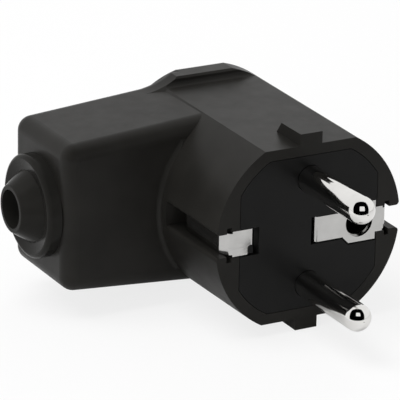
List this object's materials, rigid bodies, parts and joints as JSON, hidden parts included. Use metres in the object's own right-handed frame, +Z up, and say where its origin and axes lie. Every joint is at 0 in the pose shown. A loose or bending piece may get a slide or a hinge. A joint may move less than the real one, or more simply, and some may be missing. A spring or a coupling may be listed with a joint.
{
  "type": "type f plug",
  "caption": "Right-angled mains plug with round contact pins, sprung earth clips in side grooves, an earth pin socket in the face and a flanged cable gland on its arm.",
  "frame": {"origin": "centre of the engagement face, midway between the pins", "axes": "-Y along the pins, out of the engagement face; the body lies towards +Y; -X towards the cable gland; +Z up, from the lower pin to the upper pin"},
  "size_m": [0.0596, 0.0596, 0.0354],
  "materials": {
    "black_plastic": "fine moulded satin",
    "gland_plastic": "smooth, slightly glossy",
    "frame_plastic": "moulded",
    "plated_brass": "polished nickel plating on brass",
    "plated_strip": "nickel plated sheet",
    "bare_brass": "machined",
    "steel": "zinc plated"
  },
  "bodies": {
    "root": {"hood": "black_plastic", "insert_plate": "black_plastic", "cable_gland": "gland_plastic", "terminal_frame": "frame_plastic", "clamp_bar": "frame_plastic", "live_pin": "plated_brass", "neutral_pin": "plated_brass", "earth_strip": "plated_strip", "earth_rivet": "bare_brass", "earth_terminal_block": "bare_brass", "earth_sleeve": "plated_strip", "housing_nut": "bare_brass", "sleeve_spring": "steel", "live_wire_protector": "steel", "neutral_wire_protector": "steel", "earth_wire_protector": "steel", "live_terminal_screw": "steel", "neutral_terminal_screw": "steel", "earth_terminal_screw": "steel", "frame_screws": "steel", "clamp_screws": "steel", "housing_screw": "steel"}
  },
  "joints": []
}
